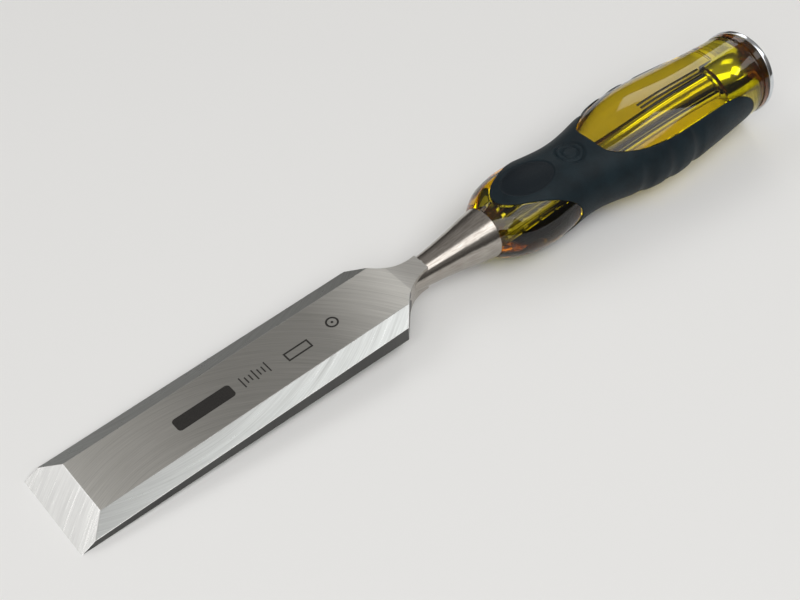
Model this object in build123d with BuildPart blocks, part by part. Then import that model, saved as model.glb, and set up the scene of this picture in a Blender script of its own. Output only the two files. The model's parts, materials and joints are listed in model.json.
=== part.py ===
from build123d import *
from math import atan2, cos, radians, sin, tan
import os

os.makedirs("parts", exist_ok=True)

# ---------------------------------------------------------------- driving dimensions, in mm
# Blade. Lengths run along the tool from the cutting edge, heights from the flat back.
blade_width = 32.0
cutting_bevel_angle = 25.0
side_face_height = 2.06  # square side faces, at the cutting edge
edge_thickness = 4.5  # ground thickness carried forward to the cutting edge
flat_top_width = 20.6  # between the two side bevels
blade_taper = 0.0295  # rise of the top and of the side bevels, per mm of length
shoulder_start = 115.3
shoulder_bend = (121.4, 9.18)  # length and half width where the straight shoulder curves into the neck
neck_waist = (134.0, 3.4)
top_grind_end = 123.5  # the flat top ends in the round run-out of the grinding wheel
run_out_length = 16.0
run_out_rise = 3.0
stock_height = 14.0  # forging stock above the back, before it is ground

# Bolster and tang, round about the tool's axis.
axis_height = 4.6
bolster_profile = [(126.0, 4.6), (136.0, 5.15), (148.0, 6.8), (160.6, 9.0)]  # length, radius
root_radius = 5.3  # fluted and barbed root that keys the blade in the handle
root_length = 29.5
flute_count = 14
flute_radius = 0.8
barb_count = 4
barb_spacing = 6.0
barb_depth = 0.7
tang_radius = 3.1
tang_bore_radius = 3.35  # the rod passes freely through the clear handle
rivet_head = 1.0  # the tang's end is spread this much into the cap's countersink

# Handle: oval stations of the outer form, as length, half width, half height.
handle_stations = [
    (160.6, 9.5, 9.5),
    (163.0, 11.3, 10.6),
    (167.0, 13.8, 12.0),
    (172.0, 15.4, 13.0),
    (179.0, 16.3, 13.55),
    (190.0, 15.4, 12.8),
    (200.0, 14.7, 12.3),
    (212.0, 16.2, 13.5),
    (224.0, 18.75, 15.6),
    (236.0, 19.85, 16.55),
    (250.0, 19.1, 16.2),
    (266.0, 17.5, 15.65),
    (278.0, 16.2, 15.7),
    (286.4, 15.9, 15.9),
]
clear_inset = 0.35  # the clear plastic lies this far under the rubber's surface
rubber_thickness = 1.9
end_groove_at = 283.2
end_groove_radius = 0.7

# Rubber grip, outlined from the side: length, height above the axis.
eye_centre = 169.0
eye_length = 22.3
eye_half_height = 11.4
outline_reach = 30.0  # the outline passes this far above and below the axis, clear of the handle
strip_edge = [  # from the top window's front, round the strip's rear end, to the underside window's front
    (208.0, 14.4),
    (208.7, 12.6),
    (212.0, 11.1),
    (222.0, 9.85),
    (240.0, 9.55),
    (256.0, 8.75),
    (268.0, 7.3),
    (274.6, 4.0),
    (277.8, -2.5),
    (274.8, -7.6),
    (267.0, -9.3),
    (256.0, -9.6),
    (240.0, -9.7),
    (222.0, -9.85),
    (212.0, -11.1),
    (208.7, -12.6),
    (208.0, -14.4),
]

# Thumb rests, finger hollows and round emblem of the rubber.
thumb_rest_at = 179.8
thumb_rest_length = 21.4
thumb_rest_width = 14.4
recess_depth = 0.4  # of the thumb rests and of the emblem's rings
hollow_places = [(219.5, 17.85), (232.0, 19.7), (244.5, 19.55)]  # length, half width of the handle there
hollow_radius = 7.0
hollow_depth = 0.55
hollow_bend = 13.5  # the hollows curve round the side of the handle at this radius
hollow_arc = 110.0
emblem_at = 199.3
emblem_ring_radii = (5.3, 3.3)
emblem_ring_width = 0.8

# Strike cap.
cap_radius = 15.9
cap_start = 286.4
cap_end = 288.6
cap_edge_round = 0.8
shank_radius = 5.1
shank_start = 267.2
shank_nose_radius = 3.9
shank_nose_length = 2.2

# ---------------------------------------------------------------- the tool's own frame, lying on the bench
# The cutting edge and the belly of the handle both touch the bench, so the tool leans a little.
belly_at = 233.0
belly_half_height = 16.1  # of the clear core, which bears on the bench between the rubber strips
lean = atan2(belly_half_height - axis_height, belly_at)
half_span = (cap_end * cos(lean) + (cap_radius - axis_height) * sin(lean)) / 2
tool = Plane(
    origin=(-half_span, 0, 0),
    x_dir=(cos(lean), 0, sin(lean)),
    z_dir=(-sin(lean), 0, cos(lean)),
)
axis_start = tool.from_local_coords((0, 0, axis_height))
tool_axis = Axis(axis_start, tool.x_dir)
plan = Plane(origin=axis_start, x_dir=tool.x_dir, z_dir=tool.z_dir)
side = Plane(origin=axis_start, x_dir=tool.x_dir, z_dir=-tool.y_dir)
side_at_back = Plane(origin=tool.origin, x_dir=tool.x_dir, z_dir=-tool.y_dir)


def across(length):
    """The plane across the tool at this length, centred on its axis, with its Y upwards."""
    centre = tool.from_local_coords((length, 0, axis_height))
    return Plane(origin=centre, x_dir=tool.y_dir, z_dir=tool.x_dir)


def oval_body(inset):
    """The handle's outer form, moved inwards by this much."""
    with BuildPart() as body:
        for length, half_width, half_height in handle_stations:
            with BuildSketch(across(length)):
                Ellipse(half_width - inset, half_height - inset)
        loft()
    return body.part


# ---------------------------------------------------------------- blade, bolster and tang: one forging
half_width = blade_width / 2
flat_half = flat_top_width / 2
top_at_neck = edge_thickness + blade_taper * top_grind_end
bolster_end = bolster_profile[-1][0]
root_end = bolster_end + root_length

with BuildPart() as blade_and_tang:
    # Forging blank of the blade, shoulders and neck.
    with BuildSketch(tool):
        with BuildLine():
            edge_line = Line((0, 0), (0, half_width))
            side_line = Line(edge_line @ 1, (shoulder_start, half_width))
            shoulder = Line(side_line @ 1, shoulder_bend)
            neck = Spline(shoulder @ 1, neck_waist, tangents=[shoulder % 1, (1, 0)])
            Line(neck @ 1, (neck_waist[0], 0))
            mirror(about=Plane.XZ)
        make_face()
    extrude(amount=stock_height)

    # Side bevels: one ground plane along each side of the blade.
    for hand in (1, -1):
        foot = tool.from_local_coords((0, hand * half_width, side_face_height))
        ahead = tool.from_local_coords((1, hand * half_width, side_face_height + blade_taper))
        crest = tool.from_local_coords((0, hand * flat_half, edge_thickness))
        outward = (crest - foot).cross(ahead - foot) * hand
        split(bisect_by=Plane(origin=foot, x_dir=ahead - foot, z_dir=outward), keep=Keep.BOTTOM)

    # Trumpet-shaped bolster, then the keyed root, the rod and the riveted end of the tang.
    with BuildSketch(side):
        with BuildLine():
            trumpet = Spline(bolster_profile)
            Polyline(
                trumpet @ 1,
                (bolster_end, root_radius),
                (root_end, root_radius),
                (root_end + root_radius - tang_radius, tang_radius),
                (cap_end - rivet_head, tang_radius),
                (cap_end, tang_radius + rivet_head),
                (cap_end, 0),
                (bolster_profile[0][0], 0),
                trumpet @ 0,
            )
        make_face()
    revolve(axis=tool_axis)

    # The top is ground flat as far as the neck, and the wheel leaves a round run-out there.
    with BuildSketch(side_at_back):
        with BuildLine():
            top_line = Line((0, edge_thickness), (top_grind_end, top_at_neck))
            run_out_end = (top_grind_end + run_out_length, top_at_neck + run_out_rise)
            run_out = TangentArc(top_line @ 1, run_out_end, tangent=top_line % 1)
            Polyline(run_out @ 1, (run_out_end[0], stock_height), (0, stock_height), top_line @ 0)
        make_face()
    extrude(amount=half_width, both=True, mode=Mode.SUBTRACT)

    # Cutting bevel.
    bevel_reach = stock_height / tan(radians(cutting_bevel_angle))
    with BuildSketch(side_at_back):
        with BuildLine():
            Polyline((0, 0), (bevel_reach, stock_height), (0, stock_height), close=True)
        make_face()
    extrude(amount=half_width, both=True, mode=Mode.SUBTRACT)

    # Flutes along the root, then rows of barbs round it.
    with BuildSketch(across(bolster_end)):
        with PolarLocations(root_radius, flute_count):
            Circle(flute_radius)
    extrude(amount=root_length, mode=Mode.SUBTRACT)
    with BuildSketch(side):
        for row in range(barb_count):
            barb_at = bolster_end + (row + 1) * barb_spacing
            with BuildLine():
                Polyline(
                    (barb_at, root_radius),
                    (barb_at, root_radius - barb_depth),
                    (barb_at + 2 * barb_depth, root_radius),
                    close=True,
                )
            make_face()
    revolve(axis=tool_axis, mode=Mode.SUBTRACT)

blade_and_tang.part.label = "blade_and_tang"
export_step(blade_and_tang.part, "parts/blade_and_tang.step")

# ---------------------------------------------------------------- strike cap: disc with a shank over the tang
with BuildPart() as strike_cap:
    with BuildSketch(side):
        with BuildLine():
            Polyline(
                (shank_start, tang_radius),
                (shank_start, shank_nose_radius),
                (shank_start + shank_nose_length, shank_nose_radius),
                (shank_start + shank_nose_length, shank_radius),
                (cap_start, shank_radius),
                (cap_start, cap_radius),
                (cap_end, cap_radius),
                (cap_end, tang_radius + rivet_head),
                (cap_end - rivet_head, tang_radius),
                close=True,
            )
        make_face()
    revolve(axis=tool_axis)
    rim = strike_cap.edges().filter_by(GeomType.CIRCLE).group_by(SortBy.RADIUS)[-1]
    fillet(rim, cap_edge_round)

strike_cap.part.label = "strike_cap"
export_step(strike_cap.part, "parts/strike_cap.step")

# ---------------------------------------------------------------- outline of the rubber grip, through the handle
outer_form = oval_body(0)
under_rubber_form = oval_body(rubber_thickness)

with BuildPart() as grip_outline:
    with BuildSketch(side):
        with BuildLine():
            eye = EllipticalCenterArc((eye_centre, 0), eye_length, eye_half_height, -90, arc_size=180)
            strip = Spline(strip_edge)
            Polyline(
                eye @ 1,
                (bolster_end, eye_half_height),
                (bolster_end, outline_reach),
                (strip_edge[0][0], outline_reach),
                strip @ 0,
            )
            Polyline(
                strip @ 1,
                (strip_edge[-1][0], -outline_reach),
                (bolster_end, -outline_reach),
                (bolster_end, -eye_half_height),
                eye @ 0,
            )
        make_face()
    extrude(amount=outline_reach, both=True)

# ---------------------------------------------------------------- rubber grip
with BuildPart() as finger_hollows:
    for length, half_width_there in hollow_places:
        for hand in (1, -1):
            offset = hand * (half_width_there - hollow_bend)
            bend_centre = tool.from_local_coords((length, offset, axis_height))
            bend_axis = Axis(bend_centre, tool.x_dir)
            outwards = (tool.y_dir * hand).rotate(bend_axis, -hollow_arc / 2)
            with BuildSketch(Plane(origin=bend_centre, x_dir=tool.x_dir, z_dir=tool.x_dir.cross(outwards))):
                with Locations((0, hollow_bend + hollow_radius - hollow_depth)):
                    Circle(hollow_radius)
            revolve(axis=bend_axis, revolution_arc=hollow_arc)

with BuildPart() as outer_skin:
    add(outer_form)
    add(oval_body(recess_depth), mode=Mode.SUBTRACT)

with BuildPart() as recesses:
    # A thumb rest on the top tongue and one on the underside.
    with BuildSketch(plan):
        with Locations((thumb_rest_at, 0)):
            Ellipse(thumb_rest_length / 2, thumb_rest_width / 2)
    extrude(amount=outline_reach, both=True)
    # The emblem on top is two plain rings.
    with BuildSketch(plan):
        with Locations((emblem_at, 0)):
            for radius in emblem_ring_radii:
                Circle(radius)
                Circle(radius - emblem_ring_width, mode=Mode.SUBTRACT)
    extrude(amount=outline_reach)
    add(outer_skin.part, mode=Mode.INTERSECT)

with BuildPart() as rubber_grip:
    add(outer_form)
    add(under_rubber_form, mode=Mode.SUBTRACT)
    add(grip_outline.part, mode=Mode.INTERSECT)
    add(recesses.part, mode=Mode.SUBTRACT)
    add(finger_hollows.part, mode=Mode.SUBTRACT)

rubber_grip.part.label = "rubber_grip"
export_step(rubber_grip.part, "parts/rubber_grip.step")

# ---------------------------------------------------------------- clear handle core, moulded round the tang
with BuildPart() as handle_core:
    add(oval_body(clear_inset))
    add(grip_outline.part, mode=Mode.SUBTRACT)
    add(under_rubber_form)
    with BuildSketch(side):
        with Locations((end_groove_at, cap_radius - clear_inset)):
            Circle(end_groove_radius)
    revolve(axis=tool_axis, mode=Mode.SUBTRACT)
    add(strike_cap.part, mode=Mode.SUBTRACT)
    add(blade_and_tang.part, mode=Mode.SUBTRACT)
    with BuildSketch(across(root_end)):
        Circle(tang_bore_radius)
    extrude(amount=shank_start - root_end, mode=Mode.SUBTRACT)

handle_core.part.label = "handle_core"
export_step(handle_core.part, "parts/handle_core.step")
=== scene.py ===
import json
import math

import bmesh
import bpy
import numpy as np
from mathutils import Matrix, Vector, kdtree
from mathutils.geometry import delaunay_2d_cdt


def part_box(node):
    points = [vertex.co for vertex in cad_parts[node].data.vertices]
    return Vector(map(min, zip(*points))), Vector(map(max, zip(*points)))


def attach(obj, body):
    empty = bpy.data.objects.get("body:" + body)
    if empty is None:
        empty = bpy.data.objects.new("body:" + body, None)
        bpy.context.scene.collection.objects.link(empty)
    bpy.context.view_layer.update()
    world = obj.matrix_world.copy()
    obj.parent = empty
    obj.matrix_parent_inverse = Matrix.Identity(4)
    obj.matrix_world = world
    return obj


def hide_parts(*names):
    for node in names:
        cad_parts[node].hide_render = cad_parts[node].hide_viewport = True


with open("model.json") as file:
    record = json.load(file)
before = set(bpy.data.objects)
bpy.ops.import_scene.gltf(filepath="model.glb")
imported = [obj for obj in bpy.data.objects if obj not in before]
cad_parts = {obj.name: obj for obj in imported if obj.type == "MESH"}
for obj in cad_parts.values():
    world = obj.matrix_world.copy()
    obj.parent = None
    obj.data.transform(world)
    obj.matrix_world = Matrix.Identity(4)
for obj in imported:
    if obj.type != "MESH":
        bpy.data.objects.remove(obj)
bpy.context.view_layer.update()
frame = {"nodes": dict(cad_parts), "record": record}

# ================================================================ the tool's own frame, in mm
# X runs along the tool from the cutting edge, Y to its far side, Z up from the blade's flat back.
MM = 0.001
mounts = {mount["name"]: mount for mount in frame["record"]["mounts"]}
length_way = Vector(mounts["strike_face"]["axis"]).normalized()
up_way = -Vector(mounts["blade_back"]["axis"]).normalized()
side_way = up_way.cross(length_way)
edge_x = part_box("blade_and_tang")[0].x
tool_to_row = Matrix.Translation((edge_x, 0, 0)) @ Matrix(
    (length_way * MM, side_way * MM, up_way * MM)
).transposed().to_4x4()
row_to_tool = tool_to_row.inverted()
axis_height = 4.6  # of the handle and the tang, above the blade's back

# ---------------------------------------------------------------- the handle's driving dimensions, in mm
handle_stations = [  # length, half width, half height
    (160.6, 9.5, 9.5),
    (163.0, 11.3, 10.6),
    (167.0, 13.8, 12.0),
    (172.0, 15.4, 13.0),
    (179.0, 16.3, 13.55),
    (190.0, 15.4, 12.8),
    (200.0, 14.7, 12.3),
    (212.0, 16.2, 13.5),
    (224.0, 18.75, 15.6),
    (236.0, 19.85, 16.55),
    (250.0, 19.1, 16.2),
    (266.0, 17.5, 15.65),
    (278.0, 16.2, 15.7),
    (286.4, 15.9, 15.9),
]
clear_inset = 0.35  # the clear core lies this far under the handle's outer form
rubber_thickness = 1.9
strip_edge = [  # length, height above the axis
    (208.0, 14.4),
    (208.7, 12.6),
    (212.0, 11.1),
    (222.0, 9.85),
    (240.0, 9.55),
    (256.0, 8.75),
    (268.0, 7.3),
    (274.6, 4.0),
    (277.8, -2.5),
    (274.8, -7.6),
    (267.0, -9.3),
    (256.0, -9.6),
    (240.0, -9.7),
    (222.0, -9.85),
    (212.0, -11.1),
    (208.7, -12.6),
    (208.0, -14.4),
]
weld_distance = 2e-6  # in metres


def natural_spline(knots, values, places):
    """The natural cubic spline through the values at the knots, read at these places."""
    knots = np.asarray(knots, float)
    values = np.asarray(values, float)
    gaps = np.diff(knots)
    slopes = np.diff(values) / gaps
    system = np.eye(len(knots))
    bend = np.zeros(len(knots))
    for i in range(1, len(knots) - 1):
        system[i, i - 1 : i + 2] = gaps[i - 1], 2 * (gaps[i - 1] + gaps[i]), gaps[i]
        bend[i] = 6 * (slopes[i] - slopes[i - 1])
    curvature = np.linalg.solve(system, bend)
    places = np.asarray(places, float)
    i = np.clip(np.searchsorted(knots, places) - 1, 0, len(gaps) - 1)
    t = places - knots[i]
    start_slope = slopes[i] - gaps[i] * (2 * curvature[i] + curvature[i + 1]) / 6
    twist = (curvature[i + 1] - curvature[i]) / (6 * gaps[i])
    return values[i] + t * (start_slope + t * (curvature[i] / 2 + t * twist))


def handle_size(length):
    """Half width and half height of the handle's outer form at this length."""
    lengths, widths, heights = zip(*handle_stations)
    return natural_spline(lengths, widths, length), natural_spline(lengths, heights, length)


def handle_point(length, angle, depth=0.0):
    """Points this deep under the handle's outer form. Angle 0 is the near side and pi/2 the top."""
    half_width, half_height = handle_size(length)
    y = -(half_width - depth) * np.cos(angle)
    z = axis_height + (half_height - depth) * np.sin(angle)
    return np.stack(np.broadcast_arrays(length, y, z), axis=-1)


def new_piece(name, points, faces, slot, node=None, smooth=True):
    """A mesh object from points in tool millimetres, riding on the one body."""
    mesh = bpy.data.meshes.new(name)
    mesh.from_pydata([tool_to_row @ Vector(p) for p in np.asarray(points).tolist()], [], faces)
    mesh.validate()
    for face in mesh.polygons:
        face.use_smooth = smooth
    piece = bpy.data.objects.new(name, mesh)
    bpy.context.scene.collection.objects.link(piece)
    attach(piece, "root")
    if node:
        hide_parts(node)
    return piece


# ================================================================ rubber grip
# Its skin is meshed flat, over length and angle, for the near half of the handle, and then mirrored.
TOP = math.pi / 2
ROW_HEIGHT = 0.866  # of a triangle with sides of 1
INSIDE = 1  # the triangulator keeps what lies inside the loops
eye_centre = 169.0
eye_length = 22.3
eye_half_height = 11.4
eye_samples = 400
strip_samples = 4000
loop_samples = 240
edge_round = 0.45
edge_rows = (0.04, 0.12, 0.25, 0.45, 0.75)  # rows of points inside the outline, by distance
row_tolerance = 0.9  # a point nearer to the outline than this share of its row's distance is dropped
skin_spacing = 0.75
outline_spacing = 0.3
fine_spacing = 0.1  # of the points that distances from the outline are measured to
flat_scale = 16.0  # mm of flat height per radian round the handle
grip_clearance = 0.6 * skin_spacing  # between the grid and the other points
grip_seam_margin = 0.004  # in radians
seam_tolerance = 1e-4  # in radians
merge_distance = 1e-5
tiny = 1e-9

thumb_rest_at = 179.8
thumb_rest_size = (10.7, 7.2)  # half length, half width
rest_rows = (0.12, 0, -0.12, -0.24, -0.36, -0.5)  # rows of points along its edge, by distance outside it
rest_spacing = 0.5
recess_depth = 0.4
recess_wall = 0.45
emblem_at = 199.3
emblem_rings = ((5.3, 4.5), (3.3, 2.5))  # outer and inner radius of each groove
emblem_rows = (0.05, -0.06, -0.18)  # rows of points along a groove's walls, by distance outside it
emblem_spacing = 0.3
groove_wall = 0.18
hollow_places = ((219.5, 17.85), (232.0, 19.7), (244.5, 19.55))  # length, half width there
hollow_radius = 7.0
hollow_depth = 0.55
hollow_bend = 13.5
hollow_blend = 0.3


def flat_points(lengths, angles):
    """Points over length and angle; either may be one number."""
    return np.stack(np.broadcast_arrays(lengths, angles), axis=1)


def evenly(points, spacing):
    """Points at about this spacing along a fine polyline over length and angle, measured on the handle."""
    places = handle_point(*points.T)
    run = np.concatenate([[0], np.cumsum(np.linalg.norm(np.diff(places, axis=0), axis=1))])
    stops = np.linspace(0, run[-1], max(2, round(run[-1] / spacing) + 1))
    return np.stack([np.interp(stops, run, column) for column in points.T], axis=1)


def eye_outline():
    """The edge of the clear eye at the grip's front, from the top tongue's tip to the lower tongue's tip."""
    lengths = np.linspace(handle_stations[1][0], eye_centre, eye_samples)
    heights = handle_size(lengths)[1]
    reach = math.asin(eye_half_height / heights[-1])
    tongue_angles = np.linspace(TOP, reach, eye_samples, endpoint=False)
    tongue = flat_points(np.interp(eye_half_height / np.sin(tongue_angles), heights, lengths), tongue_angles)
    turn = np.linspace(TOP, -TOP, 2 * eye_samples)
    round_lengths = eye_centre + eye_length * np.cos(turn)
    round_angles = np.arcsin(eye_half_height * np.sin(turn) / handle_size(round_lengths)[1])
    return np.concatenate([tongue, flat_points(round_lengths, round_angles), tongue[::-1] * (1, -1)])


def strip_outline():
    """The edge of the side strip, from the top window's front round its rear end to the underside window."""
    lengths, heights = np.array(strip_edge).T
    run = np.concatenate([[0], np.cumsum(np.hypot(np.diff(lengths), np.diff(heights)))])
    stops = np.linspace(0, run[-1], strip_samples)
    lengths, heights = natural_spline(run, lengths, stops), natural_spline(run, heights, stops)
    sines = heights / handle_size(lengths)[1]
    on_handle = np.abs(sines) < 1
    outline = flat_points(lengths[on_handle], np.arcsin(sines[on_handle]))
    outline[0, 1], outline[-1, 1] = TOP, -TOP
    return outline


def plan_loop(centre, half_length, half_width, on_top):
    """The near half of an ellipse on top of the handle, or under it, as seen from straight above."""
    turn = np.linspace(0, math.pi, loop_samples)
    lengths = centre + half_length * np.cos(turn)
    angles = np.arccos(half_width * np.sin(turn) / handle_size(lengths)[0])
    return flat_points(lengths, angles if on_top else -angles)


def across_outline(outline):
    """Points along an outline on the handle, and the way in its surface across the outline at each."""
    places = handle_point(*outline.T)
    ahead = np.gradient(places, axis=0)
    ahead /= np.linalg.norm(ahead, axis=1, keepdims=True)
    half_width, half_height = handle_size(outline[:, 0])
    outward = np.stack([
        0 * half_width,
        -np.cos(outline[:, 1]) / half_width,
        np.sin(outline[:, 1]) / half_height,
    ], axis=1)
    across = np.cross(ahead, outward)
    across /= np.linalg.norm(across, axis=1, keepdims=True)
    return places, across


def to_flat(places):
    """Length and angle of points near the handle's form."""
    half_width, half_height = handle_size(places[:, 0])
    angles = np.arctan2((places[:, 2] - axis_height) / half_height, -places[:, 1] / half_width)
    return flat_points(places[:, 0], angles)


def tree_of(points):
    """A search tree over points."""
    tree = kdtree.KDTree(len(points))
    for i, point in enumerate(points):
        tree.insert(point, i)
    tree.balance()
    return tree


def distances(points, tree):
    """How far each point is from the nearest point of the tree."""
    return np.array([tree.find(point)[2] for point in points])


def staggered_grid(start, end, spacing):
    """Flat points about this far apart, in rows of triangles."""
    step = spacing / flat_scale
    return np.array([
        (length, angle + (i % 2) * step / 2)
        for i, length in enumerate(np.arange(start, end, spacing * ROW_HEIGHT))
        for angle in np.arange(-TOP, TOP, step)
    ])


def triangulated(flat, chains, loops):
    """Flat points joined up inside loops: the points, the triangles and the loops round each triangle."""
    corners = [Vector((length, angle * flat_scale)) for length, angle in flat]
    made = delaunay_2d_cdt(corners, chains, loops, INSIDE, merge_distance)
    return np.array([corner[:] for corner in made[0]]) / (1, flat_scale), made[2], made[5]


def eased(value):
    """0 below 0, 1 above 1 and smooth between."""
    value = np.clip(value, 0, 1)
    return value * value * (3 - 2 * value)


def recess_amount(flat):
    """How deep the thumb rests, the emblem's rings and the finger hollows are at flat points."""
    length, angle = flat.T
    place = handle_point(length, angle)
    y, z = place[:, 1], place[:, 2] - axis_height
    across = (length - thumb_rest_at) / thumb_rest_size[0], y / thumb_rest_size[1]
    reach = np.hypot(*across) + tiny
    steepness = np.hypot(across[0] / thumb_rest_size[0], across[1] / thumb_rest_size[1]) / reach
    depth = recess_depth * eased((1 - reach) / (steepness * recess_wall))
    from_emblem = np.hypot(length - emblem_at, y)
    for outer, inner in emblem_rings:
        outer_wall, inner_wall = (outer - from_emblem) / groove_wall, (from_emblem - inner) / groove_wall
        depth = depth + recess_depth * np.minimum(eased(outer_wall), eased(inner_wall)) * (angle > 0)
    for hollow_at, half_width_there in hollow_places:
        from_bend = np.hypot(np.abs(y) - (half_width_there - hollow_bend), z)
        sag = np.sqrt(np.maximum(hollow_radius**2 - (length - hollow_at) ** 2, 0))
        cut = from_bend - (hollow_bend + hollow_radius - hollow_depth - sag)
        softened = (cut + np.hypot(cut, hollow_blend)) / 2
        depth = depth + softened * (np.abs(length - hollow_at) < hollow_radius)
    return depth


def grip_skin():
    """Flat points and triangles of the near half, and each point's distance from the outline."""
    strip, eye = evenly(strip_outline(), outline_spacing), evenly(eye_outline(), outline_spacing)
    seam_count = round((strip[0, 0] - eye[0, 0]) / skin_spacing)
    seam_lengths = np.linspace(eye[0, 0], strip[0, 0], seam_count + 1)[1:-1]
    top_seam, under_seam = flat_points(seam_lengths, TOP), flat_points(seam_lengths[::-1], -TOP)
    border = np.concatenate([top_seam, strip, under_seam, eye[::-1]])
    fine_edge = np.concatenate([evenly(strip_outline(), fine_spacing), evenly(eye_outline(), fine_spacing)])
    edge_tree = tree_of(handle_point(*fine_edge.T))

    rows = []
    for outline, hand in ((strip, 1), (eye, -1)):
        places, across = across_outline(outline)
        for row in edge_rows:
            moved = places + across * row * hand
            moved = moved[distances(moved, edge_tree) > row_tolerance * row]
            rows.append(to_flat(moved))
    for on_top in (True, False):
        for grow in rest_rows:
            half_length, half_width = thumb_rest_size[0] + grow, thumb_rest_size[1] + grow
            rows.append(evenly(plan_loop(thumb_rest_at, half_length, half_width, on_top), rest_spacing))
    for outer, inner in emblem_rings:
        for radius in [outer + row for row in emblem_rows] + [inner - row for row in reversed(emblem_rows)]:
            rows.append(evenly(plan_loop(emblem_at, radius, radius, True), emblem_spacing))
    detail = np.concatenate(rows)

    grid = staggered_grid(border[:, 0].min(), border[:, 0].max(), skin_spacing)
    fixed_tree = tree_of(np.concatenate([handle_point(*detail.T), handle_point(*border.T)]))
    grid = grid[distances(handle_point(*grid.T), fixed_tree) > grip_clearance]
    inner_points = np.concatenate([detail, grid])
    inner_points = inner_points[np.abs(inner_points[:, 1]) < TOP - grip_seam_margin]
    flat = np.concatenate([border, inner_points])
    points, triangles, _ = triangulated(flat, [], [list(range(len(border)))])
    used, triangles = np.unique(np.array(triangles), return_inverse=True)
    points = points[used]
    return points, triangles.reshape(-1, 3).tolist(), distances(handle_point(*points.T), edge_tree)


def rubber_grip_piece():
    """Points and faces of the grip: its skin, the lining and the walls between, as one closed form."""
    flat, triangles, from_edge = grip_skin()
    inset = np.clip(edge_round - from_edge, 0, None)
    rounding = edge_round - np.sqrt(edge_round**2 - inset**2)
    outer = handle_point(*flat.T, np.maximum(rounding, recess_amount(flat)))
    inner = handle_point(*flat.T, rubber_thickness)
    count = len(flat)
    on_seam = np.abs(np.abs(flat[:, 1]) - TOP) < seam_tolerance
    mirrored = np.where(on_seam, np.arange(count), np.arange(count) + 2 * count)
    skin = [tuple(t) for t in triangles] + [tuple(mirrored[t][::-1].tolist()) for t in triangles]
    edges = [edge for face in skin for edge in zip(face, face[1:] + face[:1])]
    all_edges = set(edges)
    walls = [(b, a, a + count, b + count) for a, b in edges if (b, a) not in all_edges]
    lining = [tuple(i + count for i in face[::-1]) for face in skin]
    places = np.concatenate([outer, inner, outer * (1, -1, 1), inner * (1, -1, 1)])
    faces = skin + lining + walls
    used, corners = np.unique(np.concatenate([np.array(face) for face in faces]), return_inverse=True)
    starts = np.cumsum([0] + [len(face) for face in faces])
    return places[used], [tuple(corners[a:b].tolist()) for a, b in zip(starts, starts[1:])]


# ================================================================ clear handle core
AROUND = 192
bore_radius = 3.35
bore_span = (190.6, 267.8)  # both ends lie inside the steel
bore_rings = 40
groove_at = 283.2
groove_radius = 0.7
groove_rings = 17
rear_lengths = (280.8, 281.8, 284.5, 285.4, 286.1)  # of the rear end's rings outside the groove
core_span = (160.58, 286.42)  # each end bears a little into the steel, so no air shows between
skin_end = 279.9  # behind this the core is a plain turned shape
core_spacing = 1.1
core_clearance = 0.5 * core_spacing
core_seam_margin = 0.02  # in radians
core_crease = math.radians(30)
air_gap = 0.03  # between the rubber and the recess that holds it
recess_lip = 0.02
form_step = 1e-3
form_agreement = 0.985  # least cosine between a face's direction and the form's for it to follow the form


def turned_ring(length, radius, hand=1):
    """A ring of points about the tool's axis; hand -1 runs it the other way round."""
    angles = np.linspace(0, 2 * math.pi, AROUND, endpoint=False)
    y, z = hand * radius * np.cos(angles), axis_height + radius * np.sin(angles)
    return np.stack([np.full(AROUND, length), y, z], 1)


def ring_quads(count, first=0, closed=False):
    """Quads that join this many rings in a row, and the last to the first where the row is closed."""
    def at(ring, i):
        return first + ring % count * AROUND + i % AROUND
    return [
        (at(ring, i), at(ring, i + 1), at(ring + 1, i + 1), at(ring + 1, i))
        for ring in range(count if closed else count - 1)
        for i in range(AROUND)
    ]


def core_skin():
    """Flat points and triangles of the core's near half up to skin_end, and which points are sunk."""
    half_turn = np.linspace(-TOP, TOP, AROUND // 2 + 1)
    seam_lengths = np.arange(core_span[0], skin_end, core_spacing)[1:]
    border = np.concatenate([
        flat_points(core_span[0], half_turn),
        flat_points(seam_lengths, TOP),
        flat_points(skin_end, half_turn[::-1]),
        flat_points(seam_lengths[::-1], -TOP),
    ])
    rims = []
    for outset in (air_gap + recess_lip, air_gap):
        for outline, hand in ((strip_outline(), -1), (eye_outline(), 1)):
            places, across = across_outline(evenly(outline, outline_spacing))
            rim = to_flat(places + across * outset * hand)
            rim[[0, -1], 1] = TOP, -TOP
            rims.append(rim)
    fixed_tree = tree_of(np.concatenate([handle_point(*points.T) for points in (border, *rims)]))
    grid = staggered_grid(core_span[0], skin_end, core_spacing)
    grid = grid[distances(handle_point(*grid.T), fixed_tree) > core_clearance]
    grid = grid[np.abs(grid[:, 1]) < TOP - core_seam_margin]
    flat = np.concatenate([border, *rims, grid])
    starts = np.cumsum([len(border)] + [len(rim) for rim in rims])
    chains = [(a + i, a + i + 1) for a, b in zip(starts, starts[1:]) for i in range(b - a - 1)]
    inner_strip, inner_eye = range(starts[2], starts[3]), range(starts[3], starts[4])
    loops = [list(range(len(border)))[::-1], [*inner_eye, *reversed(inner_strip)]]
    recess = 1  # its place among the loops
    points, triangles, loops_round = triangulated(flat, chains, loops)
    sunk = np.zeros(len(points), bool)
    for triangle, origins in zip(triangles, loops_round):
        if recess in origins:
            sunk[list(triangle)] = True
    return points, triangles, sunk


def form_normals(places):
    """The way the handle's form faces at points on it or a little under it."""
    length, angle = to_flat(places).T
    along = handle_point(length + form_step, angle) - handle_point(length - form_step, angle)
    around = handle_point(length, angle + form_step) - handle_point(length, angle - form_step)
    normals = np.cross(along, around)
    return normals / np.linalg.norm(normals, axis=1, keepdims=True)


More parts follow.
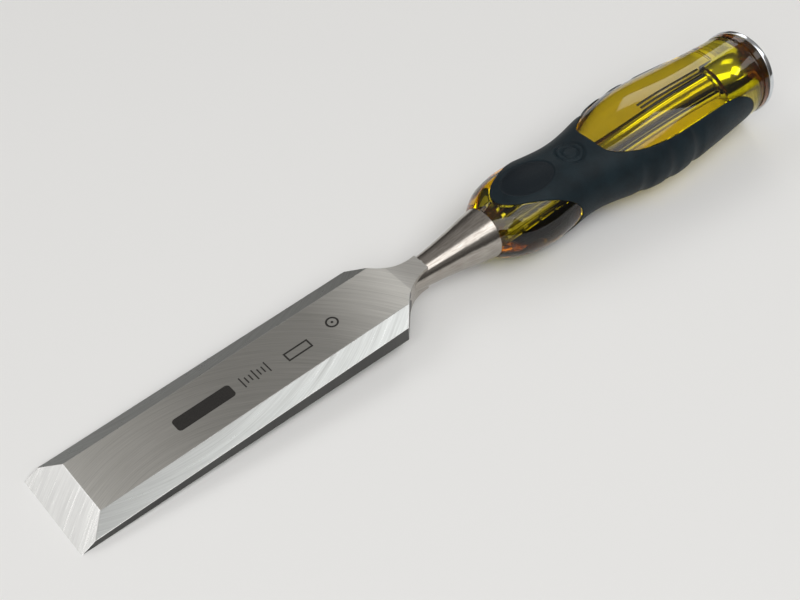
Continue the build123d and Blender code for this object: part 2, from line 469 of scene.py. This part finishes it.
def smooth_as_form(piece):
    """Shades the faces that follow the handle's form exactly as the form curves."""
    mesh = piece.data
    places = np.array([(row_to_tool @ vertex.co)[:] for vertex in mesh.vertices])
    normals = form_normals(places) @ np.array(tool_to_row.to_3x3().normalized()).T
    custom = np.zeros((len(mesh.loops), 3))
    for face in mesh.polygons:
        for loop in face.loop_indices:
            normal = normals[mesh.loops[loop].vertex_index]
            if normal @ face.normal > form_agreement:
                custom[loop] = normal
    mesh.normals_split_custom_set(custom.tolist())


def handle_core_piece(name, material):
    """The clear core: its skin with the grip's recess, its turned rear end and the bore round the rod."""
    flat, triangles, sunk = core_skin()
    near = handle_point(*flat.T, np.where(sunk, rubber_thickness + air_gap, clear_inset))
    faces = [tuple(t) for t in triangles] + [tuple(i + len(near) for i in t[::-1]) for t in triangles]
    angles = np.linspace(0, 2 * math.pi, AROUND, endpoint=False)
    in_groove = groove_at - groove_radius * np.cos(np.linspace(0, math.pi, groove_rings))
    lengths = np.sort(np.concatenate([[skin_end, *rear_lengths, core_span[1]], in_groove]))
    cuts = np.sqrt(np.maximum(groove_radius**2 - (lengths - groove_at) ** 2, 0))
    rear = [handle_point(length, angles, clear_inset + cut) for length, cut in zip(lengths, cuts)]
    rear_first = 2 * len(near)
    faces += [face[::-1] for face in ring_quads(len(rear), rear_first)]
    bore = [turned_ring(length, bore_radius, -1) for length in np.linspace(*bore_span, bore_rings)]
    bore_first = rear_first + len(rear) * AROUND
    bore_last = bore_first + (len(bore) - 1) * AROUND
    faces += ring_quads(len(bore), bore_first)
    faces += [tuple(reversed(range(bore_first, bore_first + AROUND)))]
    faces += [tuple(range(bore_last, bore_last + AROUND))]
    places = np.concatenate([near, near * (1, -1, 1), *rear, *bore])
    piece = new_piece(name, places, faces, "clear_handle", "handle_core")
    shape = bmesh.new()
    shape.from_mesh(piece.data)
    bmesh.ops.remove_doubles(shape, verts=shape.verts, dist=weld_distance)
    bmesh.ops.holes_fill(shape, edges=[edge for edge in shape.edges if edge.is_boundary])
    bmesh.ops.delete(shape, geom=[vertex for vertex in shape.verts if not vertex.link_faces], context="VERTS")
    for edge in shape.edges:
        edge.smooth = edge.calc_face_angle(0) < core_crease
    shape.to_mesh(piece.data)
    shape.free()
    smooth_as_form(piece)
    piece.data.materials.append(material)


# ================================================================ strike cap
cap_start = 286.4
cap_end = 288.6
cap_radius = 15.9
cap_round = 0.8
cap_front_round = 0.25
rim_steps = 12
tang_radius = 3.1
rivet_head = 1.0
shank_radius = 5.1
shank_start = 267.2
shank_nose = (2.2, 3.9)  # length, radius
shank_round = 0.3
step_steps = 5


def arc(centre, radius, start, end, steps):
    """Points of a circular arc, as length and radius, between two angles in degrees."""
    turn = np.radians(np.linspace(start, end, steps + 1))
    return [(centre[0] + radius * math.sin(t), centre[1] + radius * math.cos(t)) for t in turn]


def rounded_step(length, radius, rounding):
    """The rounded corner of a step up to this radius."""
    return arc((length + rounding, radius - rounding), rounding, -90, 0, step_steps)


def strike_cap_piece():
    """Points and faces of the cap and its shank, turned about the tool's axis."""
    nose_length, nose_radius = shank_nose
    profile = [(shank_start, tang_radius)]
    profile += rounded_step(shank_start, nose_radius, shank_round)
    profile += rounded_step(shank_start + nose_length, shank_radius, shank_round)
    profile += [(cap_start, shank_radius)]
    profile += rounded_step(cap_start, cap_radius, cap_front_round)
    profile += arc((cap_end - cap_round, cap_radius - cap_round), cap_round, 0, 90, rim_steps)
    profile += [(cap_end, tang_radius + rivet_head), (cap_end - rivet_head, tang_radius)]
    rings = [turned_ring(length, radius) for length, radius in profile]
    return np.concatenate(rings), ring_quads(len(rings), closed=True)


# ================================================================ blade, bolster and tang
edge_wear = 0.12  # the ground edges are rubbed off this wide
wear_segments = 3
wear_angle = math.radians(10)
crease_angle = math.radians(25)
flat_angle = math.radians(0.05)
sharp_length = 1  # nearer than this, the cutting edge stays sharp
bevel_reach = 24  # the cutting bevel lies before this length
ground_reach = 124  # the flat top, the side bevels and the side faces lie before this length
run_out_span = (122, 134.5)
neck_half_width = 6  # the side bevels and side faces lie further out than this
FINISHES = ("cutting_bevel", "flat_top", "run_out", "side_bevel", "side_face", "flat_back", "turned")
CURVED = ("run_out", "turned")


def finish_of(face):
    """Which finish a face of the blade has, by where it lies and which way it looks."""
    normal = (row_to_tool.to_3x3() @ face.normal).normalized()
    middle = row_to_tool @ face.calc_center_median()
    level = abs(normal.y) < 0.02
    out_at_side = middle.x < ground_reach and abs(middle.y) > neck_half_width
    if normal.z < -0.999:
        return "flat_back"
    if middle.x < bevel_reach and normal.x < -0.3 and normal.z > 0.8:
        return "cutting_bevel"
    if level and normal.z > 0.998 and middle.x < ground_reach:
        return "flat_top"
    if level and normal.z > 0.9 and run_out_span[0] < middle.x < run_out_span[1]:
        return "run_out"
    if out_at_side and 0.3 < abs(normal.y) < 0.5 and normal.z > 0.85:
        return "side_bevel"
    if out_at_side and abs(normal.z) < 0.05:
        return "side_face"
    return "turned"


def blade_piece(materials):
    """The CAD forging with its flats joined up, its ground edges worn and a finish on each kind of face."""
    shape = bmesh.new()
    shape.from_mesh(frame["nodes"]["blade_and_tang"].data)
    bmesh.ops.remove_doubles(shape, verts=shape.verts, dist=weld_distance)
    bmesh.ops.dissolve_limit(shape, angle_limit=flat_angle, verts=shape.verts, edges=shape.edges)
    for face in shape.faces:
        face.material_index = FINISHES.index(finish_of(face))
    curved = {FINISHES.index(finish) for finish in CURVED}
    worn = [
        edge
        for edge in shape.edges
        if len(edge.link_faces) == 2
        and curved.isdisjoint(face.material_index for face in edge.link_faces)
        and edge.calc_face_angle() > wear_angle
        and (row_to_tool @ ((edge.verts[0].co + edge.verts[1].co) / 2)).x > sharp_length
    ]
    bmesh.ops.bevel(
        shape, geom=worn, offset=edge_wear * MM, segments=wear_segments, profile=0.5, affect="EDGES",
        clamp_overlap=False,
    )
    for face in shape.faces:
        face.smooth = face.material_index in curved
    for edge in shape.edges:
        if len(edge.link_faces) == 2 and edge.calc_face_angle() > crease_angle:
            edge.smooth = False
    mesh = bpy.data.meshes.new("blade")
    shape.to_mesh(mesh)
    shape.free()
    for finish in FINISHES:
        mesh.materials.append(materials[finish])
    piece = bpy.data.objects.new("blade", mesh)
    bpy.context.scene.collection.objects.link(piece)
    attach(piece, "root")
    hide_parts("blade_and_tang")


# ================================================================ marks
# Plain shapes with no lettering: a bar, graduation ticks, an empty frame, a ring and stripes.
mark_thickness = 0.02  # above and below the surface
corner_steps = 6
ring_parts = 24
stripe_spacing = 0.8
top_at_edge = 4.5  # height of the flat top's plane above the cutting edge
top_slope = 0.0295


def blade_top(length):
    """Height of the ground flat top above the back."""
    return top_at_edge + top_slope * length


def flat_mark(name, outlines, material):
    """Thin closed plates on the blade's flat top, from outlines over length and Y."""
    points, faces = [], []
    for outline in outlines:
        first, count = len(points), len(outline)
        for rise in (-mark_thickness, mark_thickness):
            points += [(x, y, blade_top(x) + rise) for x, y in outline]
        faces.append(tuple(first + i for i in reversed(range(count))))
        faces.append(tuple(first + count + i for i in range(count)))
        for i in range(count):
            j = (i + 1) % count
            faces.append((first + i, first + j, first + count + j, first + count + i))
    piece = new_piece(name, points, faces, "blade_steel", smooth=False)
    piece.data.materials.append(material)


def rounded_bar(centre, length, width, corner):
    """Outline of a bar with rounded corners."""
    outline = []
    for quarter, (sx, sy) in enumerate(((1, 1), (-1, 1), (-1, -1), (1, -1))):
        for step in range(corner_steps + 1):
            turn = math.radians(90 * (quarter + step / corner_steps))
            outline.append((
                centre[0] + sx * (length / 2 - corner) + corner * math.cos(turn),
                centre[1] + sy * (width / 2 - corner) + corner * math.sin(turn),
            ))
    return outline


def frame_pieces(centre, length, width, line):
    """Four bars that make a rectangular frame."""
    x, y = centre
    return [
        rounded_bar((x, y + (width - line) / 2), length, line, line / 4),
        rounded_bar((x, y - (width - line) / 2), length, line, line / 4),
        rounded_bar((x - (length - line) / 2, y), line, width - 2 * line, line / 4),
        rounded_bar((x + (length - line) / 2, y), line, width - 2 * line, line / 4),
    ]


def ring_pieces(centre, outer, inner):
    """A flat ring as short curved plates."""
    def arc_at(radius, turn):
        return [(centre[0] + radius * math.cos(t), centre[1] + radius * math.sin(t)) for t in turn]
    plates = []
    for part in range(ring_parts):
        turn = np.linspace(2 * math.pi * part / ring_parts, 2 * math.pi * (part + 1) / ring_parts, 5)
        plates.append(arc_at(outer, turn) + arc_at(inner, turn[::-1]))
    return plates


def handle_stripes(name, stripes, material):
    """Printed stripes on the clear window, each (start, end, y, width) in mm."""
    points, faces = [], []
    over, under = clear_inset - mark_thickness, clear_inset + mark_thickness
    for start, end, y, width in stripes:
        lengths = np.linspace(start, end, max(4, round((end - start) / stripe_spacing)))
        first, count = len(points), len(lengths)
        for side, depth in ((-1, over), (1, over), (1, under), (-1, under)):
            angles = np.arccos(-(y + side * width / 2) / (handle_size(lengths)[0] - clear_inset))
            points += handle_point(lengths, angles, depth).tolist()
        for i in range(count - 1):
            for row in range(4):
                a, b = first + row * count + i, first + (row + 1) % 4 * count + i
                faces.append((a, a + 1, b + 1, b))
        faces.append(tuple(first + row * count for row in range(4)))
        faces.append(tuple(first + row * count + count - 1 for row in reversed(range(4))))
    piece = new_piece(name, points, faces, "clear_handle")
    piece.data.materials.append(material)


# ================================================================ materials
def feed(tree, socket, value):
    """Links a socket to the socket given, or stores the value given."""
    if isinstance(value, bpy.types.NodeSocket):
        tree.links.new(value, socket)
    else:
        socket.default_value = value


def add(tree, kind, **inputs):
    """A node with its inputs fed by name."""
    made = tree.nodes.new(kind)
    for name, value in inputs.items():
        feed(tree, made.inputs[name.replace("_", " ")], value)
    return made


def new_material(name):
    """A material with its node tree and its shader."""
    material = bpy.data.materials.new(name)
    material.use_nodes = True
    tree = material.node_tree
    return material, tree, tree.nodes["Principled BSDF"]


def tool_place(tree):
    """The surface point in tool millimetres."""
    place = add(tree, "ShaderNodeTexCoord").outputs["Object"]
    turned = add(tree, "ShaderNodeMapping", Vector=place)
    turned.inputs["Scale"].default_value = (1 / MM,) * 3
    turned.inputs["Rotation"].default_value = row_to_tool.to_3x3().normalized().to_euler()
    turned.inputs["Location"].default_value = row_to_tool.translation
    return turned.outputs["Vector"]


def parted(tree, vector):
    """The X, Y and Z of a vector."""
    return add(tree, "ShaderNodeSeparateXYZ", Vector=vector).outputs


def maths(tree, operation, *values):
    """The result of a maths node."""
    made = tree.nodes.new("ShaderNodeMath")
    made.operation = operation
    for socket, value in zip(made.inputs, values):
        feed(tree, socket, value)
    return made.outputs[0]


def times(tree, first, second):
    """The product of two values."""
    return maths(tree, "MULTIPLY", first, second)


def length_of(tree, first, second):
    """The length of two sides at right angles."""
    return maths(tree, "SQRT", maths(tree, "ADD", times(tree, first, first), times(tree, second, second)))


def joined(tree, x, y, z=0.0):
    """A vector from its parts."""
    return add(tree, "ShaderNodeCombineXYZ", X=x, Y=y, Z=z).outputs[0]


def noise(tree, vector, scale, detail, roughness):
    """Noise, which lies mostly between 0.3 and 0.7."""
    made = add(tree, "ShaderNodeTexNoise", Vector=vector, Scale=scale, Detail=detail, Roughness=roughness)
    return made.outputs["Fac"]


def mapped(tree, value, source, target):
    """A value carried from one range to another and held inside it."""
    ends = {"From_Min": source[0], "From_Max": source[1], "To_Min": target[0], "To_Max": target[1]}
    return add(tree, "ShaderNodeMapRange", Value=value, **ends).outputs["Result"]


def ramp(tree, factor, stops):
    """A colour ramp with stops of (place, colour)."""
    made = add(tree, "ShaderNodeValToRGB", Fac=factor)
    elements = made.color_ramp.elements
    while len(elements) < len(stops):
        elements.new(0.5)
    for element, (place, colour) in zip(elements, stops):
        element.position = place
        element.color = (*colour, 1)
    return made.outputs["Color"]


def mixed(tree, factor, first, second, blend="MIX"):
    """Two colours mixed."""
    made = tree.nodes.new("ShaderNodeMix")
    made.data_type = "RGBA"
    made.blend_type = blend
    factor_socket, first_socket, second_socket = made.inputs[0], made.inputs[6], made.inputs[7]
    feed(tree, factor_socket, factor)
    feed(tree, first_socket, first)
    feed(tree, second_socket, second)
    return made.outputs[2]


def bump(tree, height, strength, distance):
    """The normal of a surface that this height roughens."""
    return add(tree, "ShaderNodeBump", Height=height, Strength=strength, Distance=distance).outputs["Normal"]


noise_span = (0.3, 0.7)
noise_middle = (0.35, 0.65)  # a narrower span gives more contrast


def ground_steel(name, dark, light, roughness, centre, grain=(3.0, 0.05), painted_reflection=None):
    """Steel with grinding marks along arcs about a centre.

    Grain is the marks' fineness across and along them. The last argument darkens the colour by length, in
    stops
    of (length, grey): painted reflection, lighter and darker bands along the blade that stand in for the
    lamps.
    """
    material, tree, shader = new_material(name)
    parts = parted(tree, tool_place(tree))
    x = maths(tree, "SUBTRACT", parts["X"], centre[0])
    y = maths(tree, "SUBTRACT", parts["Y"], centre[1])
    radius = length_of(tree, x, y)
    sweep = times(tree, maths(tree, "ARCTAN2", y, x), math.hypot(*centre))
    marks = joined(tree, times(tree, radius, grain[0]), times(tree, sweep, grain[1]))
    bands = joined(tree, times(tree, radius, grain[0] / 5), times(tree, sweep, grain[1] / 3), 7.0)
    fine = noise(tree, marks, scale=1.0, detail=4.0, roughness=0.7)
    broad = noise(tree, bands, scale=1.0, detail=3.0, roughness=0.6)
    blend = maths(tree, "ADD", times(tree, fine, 0.6), times(tree, broad, 0.4))
    colour = ramp(tree, blend, tuple(zip(noise_span, (dark, light))))
    # Painted reflection: the colour is darkened by length, lighter where the lamps would show in the steel.
    if painted_reflection:
        reach = painted_reflection[-1][0]
        stops = [(length / reach, (grey,) * 3) for length, grey in painted_reflection]
        painted_greys = ramp(tree, maths(tree, "DIVIDE", parts["X"], reach), stops)
        colour = mixed(tree, 1.0, colour, painted_greys, "MULTIPLY")
    feed(tree, shader.inputs["Base Color"], colour)
    feed(tree, shader.inputs["Roughness"], mapped(tree, blend, noise_span, roughness))
    shader.inputs["Metallic"].default_value = 1.0
    shader.inputs["Anisotropic"].default_value = 0.6
    across_marks = joined(tree, x, y)  # highlights stretch across the marks
    turn = add(tree, "ShaderNodeVectorRotate", Vector=across_marks)
    turn.rotation_type = "EULER_XYZ"
    turn.inputs["Rotation"].default_value = tool_to_row.to_3x3().normalized().to_euler()
    unit = add(tree, "ShaderNodeVectorMath", Vector=turn.outputs[0])
    unit.operation = "NORMALIZE"
    feed(tree, shader.inputs["Tangent"], unit.outputs[0])
    feed(tree, shader.inputs["Normal"], bump(tree, fine, 1.0, 0.004 * MM))
    return material


def turned_steel():
    """The bolster's polished steel, with fine turning rings and faint draw lines along it."""
    material, tree, shader = new_material("turned_steel")
    parts = parted(tree, tool_place(tree))
    height = maths(tree, "SUBTRACT", parts["Z"], axis_height)
    around = times(tree, maths(tree, "ARCTAN2", parts["Y"], height), 8.0)
    lines = joined(tree, times(tree, parts["X"], 0.12), around)
    draw = noise(tree, lines, scale=1.6, detail=4.0, roughness=0.65)
    tool_marks = joined(tree, times(tree, parts["X"], 6.0), times(tree, around, 0.05))
    rings = noise(tree, tool_marks, scale=1.0, detail=3.0, roughness=0.6)
    steel = (0.30, 0.27, 0.24), (0.52, 0.49, 0.45)
    feed(tree, shader.inputs["Base Color"], ramp(tree, draw, tuple(zip(noise_span, steel))))
    feed(tree, shader.inputs["Roughness"], mapped(tree, draw, noise_span, (0.24, 0.15)))
    shader.inputs["Metallic"].default_value = 1.0
    feed(tree, shader.inputs["Normal"], bump(tree, rings, 1.0, 0.002 * MM))
    return material


def chrome():
    """Bright plating with fine turning rings on the struck face."""
    material, tree, shader = new_material("cap_chrome")
    parts = parted(tree, tool_place(tree))
    height = maths(tree, "SUBTRACT", parts["Z"], axis_height)
    from_axis = length_of(tree, parts["Y"], height)
    rings = noise(tree, joined(tree, times(tree, from_axis, 5.0), 0.0), scale=1.0, detail=3.0, roughness=0.6)
    wear = noise(tree, tool_place(tree), scale=0.35, detail=5.0, roughness=0.65)
    plating = (0.62, 0.66, 0.70), (0.78, 0.80, 0.82)
    feed(tree, shader.inputs["Base Color"], ramp(tree, wear, tuple(zip(noise_middle, plating))))
    feed(tree, shader.inputs["Roughness"], mapped(tree, wear, noise_span, (0.2, 0.07)))
    shader.inputs["Metallic"].default_value = 1.0
    feed(tree, shader.inputs["Normal"], bump(tree, rings, 1.0, 0.003 * MM))
    return material


def rubber():
    """Blue-black satin rubber with a fine moulded grain, darker inside the thumb rests."""
    material, tree, shader = new_material("grip_rubber_satin")
    place = tool_place(tree)
    grain = noise(tree, place, scale=2.2, detail=3.0, roughness=0.6)
    cloud = noise(tree, place, scale=0.12, detail=4.0, roughness=0.6)
    blue_black = (0.003, 0.009, 0.013), (0.006, 0.016, 0.022)
    colour = ramp(tree, cloud, tuple(zip(noise_middle, blue_black)))
    parts = parted(tree, place)
    from_rest = maths(tree, "SUBTRACT", parts["X"], thumb_rest_at)
    along = maths(tree, "POWER", maths(tree, "DIVIDE", from_rest, thumb_rest_size[0]), 2.0)
    across = maths(tree, "POWER", maths(tree, "DIVIDE", parts["Y"], thumb_rest_size[1]), 2.0)
    outside = mapped(tree, maths(tree, "ADD", along, across), (0.85, 1.0), (0.0, 1.0))
    rest_colour = (0.0012, 0.0055, 0.0095, 1)
    feed(tree, shader.inputs["Base Color"], mixed(tree, outside, rest_colour, colour))
    feed(tree, shader.inputs["Roughness"], mapped(tree, grain, noise_span, (0.6, 0.46)))
    shader.inputs["Specular IOR Level"].default_value = 0.22
    feed(tree, shader.inputs["Normal"], bump(tree, grain, 0.5, 0.03 * MM))
    return material


def clear_acetate():
    """Clear yellow plastic, coloured by its depth, with faint scuffs."""
    material, tree, shader = new_material("clear_acetate")
    shader.inputs["Base Color"].default_value = (1, 1, 1, 1)
    shader.inputs["Transmission Weight"].default_value = 1.0
    shader.inputs["IOR"].default_value = 1.48
    scuff = noise(tree, tool_place(tree), scale=0.5, detail=5.0, roughness=0.6)
    feed(tree, shader.inputs["Roughness"], mapped(tree, scuff, (0.55, 0.75), (0.0, 0.05)))
    soak = add(tree, "ShaderNodeVolumeAbsorption", Color=(0.989, 0.961, 0.0, 1), Density=260.0)
    feed(tree, tree.nodes["Material Output"].inputs["Volume"], soak.outputs[0])
    return material


def plain_finish(name, dark, light, roughness, metallic=0.0):
    """A thin printed or etched finish with slight mottling."""
    material, tree, shader = new_material(name)
    mottle = noise(tree, tool_place(tree), scale=3.0, detail=4.0, roughness=0.65)
    feed(tree, shader.inputs["Base Color"], ramp(tree, mottle, tuple(zip(noise_middle, (dark, light)))))
    shader.inputs["Roughness"].default_value = roughness
    shader.inputs["Metallic"].default_value = metallic
    return material


# ================================================================ the object
cup_wheel = (33.0, -55.0)  # it ground the flat top and the run-out
bevel_wheel = (60.0, -90.0)
side_wheel = (45.0, 98.0)
far_wheel = (60.0, 3000.0)  # its marks run almost straight along the blade
bevel_grain = (2.0, 0.06)
# Painted reflection on the flat top: lighter near the tip and the neck, darker in the middle, in stops of
# (length, grey).
top_painted_reflection = ((0.0, 0.9), (30.0, 0.8), (50.0, 0.62), (62.0, 0.56), (94.0, 0.56), (108.0, 0.8), (120.0, 1.0))
ground_finishes = (  # finish, material, dark, light, roughness, wheel, and for the bevel its grain
    (
        "cutting_bevel", "bevel_steel", (0.62, 0.62, 0.61), (0.82, 0.82, 0.80), (0.34, 0.24), bevel_wheel,
        bevel_grain,
    ),
    ("flat_top", "top_steel", (0.62, 0.61, 0.57), (0.97, 0.96, 0.91), (0.42, 0.28), cup_wheel),
    ("run_out", "neck_steel", (0.56, 0.55, 0.52), (0.82, 0.81, 0.77), (0.42, 0.28), cup_wheel),
    ("side_bevel", "side_bevel_steel", (0.42, 0.43, 0.42), (0.66, 0.68, 0.67), (0.36, 0.25), side_wheel),
    # The side faces' steel is painted dark: painted shade, standing in for the dim reflection they show.
    ("side_face", "side_steel", (0.07, 0.07, 0.07), (0.13, 0.13, 0.125), (0.45, 0.32), far_wheel),
    ("flat_back", "back_steel", (0.45, 0.45, 0.43), (0.62, 0.62, 0.60), (0.3, 0.2), far_wheel),
)
blade_finishes = {
    finish: ground_steel(*values, painted_reflection=top_painted_reflection if finish == "flat_top" else None)
    for finish, *values in ground_finishes
}
blade_finishes["turned"] = turned_steel()
blade_piece(blade_finishes)

grip = new_piece("grip", *rubber_grip_piece(), "grip_rubber", "rubber_grip")
grip.data.materials.append(rubber())
handle_core_piece("clear_core", clear_acetate())
cap = new_piece("strike_cap_turned", *strike_cap_piece(), "cap_steel", "strike_cap")
cap.data.materials.append(chrome())

etched = plain_finish("etched_steel", (0.012, 0.011, 0.010), (0.03, 0.027, 0.024), 0.55, 0.3)
printed = plain_finish("black_print", (0.004, 0.004, 0.004), (0.01, 0.01, 0.01), 0.4)
tick_start, tick_pitch, tick_width = 64.5, 1.5, 0.45
long_tick, short_tick = 4.4, 2.6
ring_centre = (98.3, 0.0)
stripe_start, stripe_end, stripe_width = 230.0, 261.0, 0.9
stripe_places = (-4.6, -2.9, -1.2)
flat_mark("maker_bar", [rounded_bar((51.0, -0.5), 20.0, 5.0, 1.2)], etched)
ticks = [
    rounded_bar((tick_start + tick_pitch * i, -0.6), tick_width, short_tick if i % 3 else long_tick, 0.1)
    for i in range(7)
]
flat_mark("tick_marks", ticks, etched)
flat_mark("width_frame", frame_pieces((84.0, -1.8), 9.0, 3.6, 0.6), etched)
dot = rounded_bar(ring_centre, 0.9, 0.9, 0.44)
flat_mark("ring_mark", ring_pieces(ring_centre, 2.15, 1.5) + [dot], etched)
stripes = [(stripe_start, stripe_end, y, stripe_width) for y in stripe_places]
handle_stripes("black_stripes", stripes, printed)

# ================================================================ floor, light and camera
half_floor = 3.0
floor_corners = [(x * half_floor, y * half_floor, 0) for x, y in ((-1, -1), (1, -1), (1, 1), (-1, 1))]
floor_mesh = bpy.data.meshes.new("floor")
floor_mesh.from_pydata(floor_corners, [], [(0, 1, 2, 3)])
floor = bpy.data.objects.new("floor", floor_mesh)
bpy.context.scene.collection.objects.link(floor)
floor_material, _, floor_shader = new_material("pale_floor")
floor_shader.inputs["Base Color"].default_value = (0.86, 0.86, 0.85, 1)
floor_shader.inputs["Roughness"].default_value = 0.9
floor_shader.inputs["Specular IOR Level"].default_value = 0.1
floor_mesh.materials.append(floor_material)

lamp_distance = 1.8
softboxes = (  # name, direction from the tool, width and height in m, radiance
    ("key_softbox", (0.25, -0.46, 0.83), 2.0, 1.05, 2.0),
    ("tip_softbox", (-0.42, 0.60, 0.68), 1.2, 0.8, 1.35),
    ("neck_softbox", (0.62, 0.53, 0.58), 0.7, 0.6, 1.9),
    ("front_softbox", (-0.60, -0.47, 0.65), 1.2, 1.2, 2.6),
)
for name, direction, width, height, radiance in softboxes:
    lamp = bpy.data.lights.new(name, "AREA")
    lamp.shape = "RECTANGLE"
    lamp.size, lamp.size_y = width, height
    lamp.energy = radiance * math.pi * width * height
    holder = bpy.data.objects.new(name, lamp)
    way = Vector(direction).normalized()
    holder.location = way * lamp_distance
    holder.rotation_euler = way.to_track_quat("Z", "Y").to_euler()
    bpy.context.scene.collection.objects.link(holder)

world = bpy.data.worlds.new("studio")
bpy.context.scene.world = world
world.use_nodes = True
sky = world.node_tree
sky_stops = ((0.45, (0.05, 0.045, 0.04)), (0.62, (0.10, 0.095, 0.09)), (0.9, (0.34, 0.33, 0.32)))
sky_way = parted(sky, add(sky, "ShaderNodeTexCoord").outputs["Generated"])
shade = ramp(sky, maths(sky, "MULTIPLY_ADD", sky_way["Z"], 0.5, 0.5), sky_stops)
feed(sky, sky.nodes["Background"].inputs["Color"], shade)
sky.nodes["Background"].inputs["Strength"].default_value = 1.0

camera_place = Vector((-0.2016, -0.2152, 0.2870))
camera_target = Vector((-0.0168, 0.0033, 0.0))
camera_roll = Matrix.Rotation(math.radians(0.21), 4, "Z")
camera_data = bpy.data.cameras.new("camera")
camera_data.lens = 56.59
camera_data.sensor_width = 36.0
camera_data.clip_start, camera_data.clip_end = 0.01, 20.0
camera = bpy.data.objects.new("camera", camera_data)
looking = (camera_target - camera_place).to_track_quat("-Z", "Y").to_matrix().to_4x4()
camera.matrix_world = Matrix.Translation(camera_place) @ looking @ camera_roll
bpy.context.scene.collection.objects.link(camera)
bpy.context.scene.camera = camera
bpy.context.scene.view_settings.view_transform = "Standard"
# Light turns many times inside the clear handle before it comes out.
bpy.context.scene.cycles.max_bounces = 32
bpy.context.scene.cycles.glossy_bounces = 16
bpy.context.scene.cycles.transmission_bounces = 32
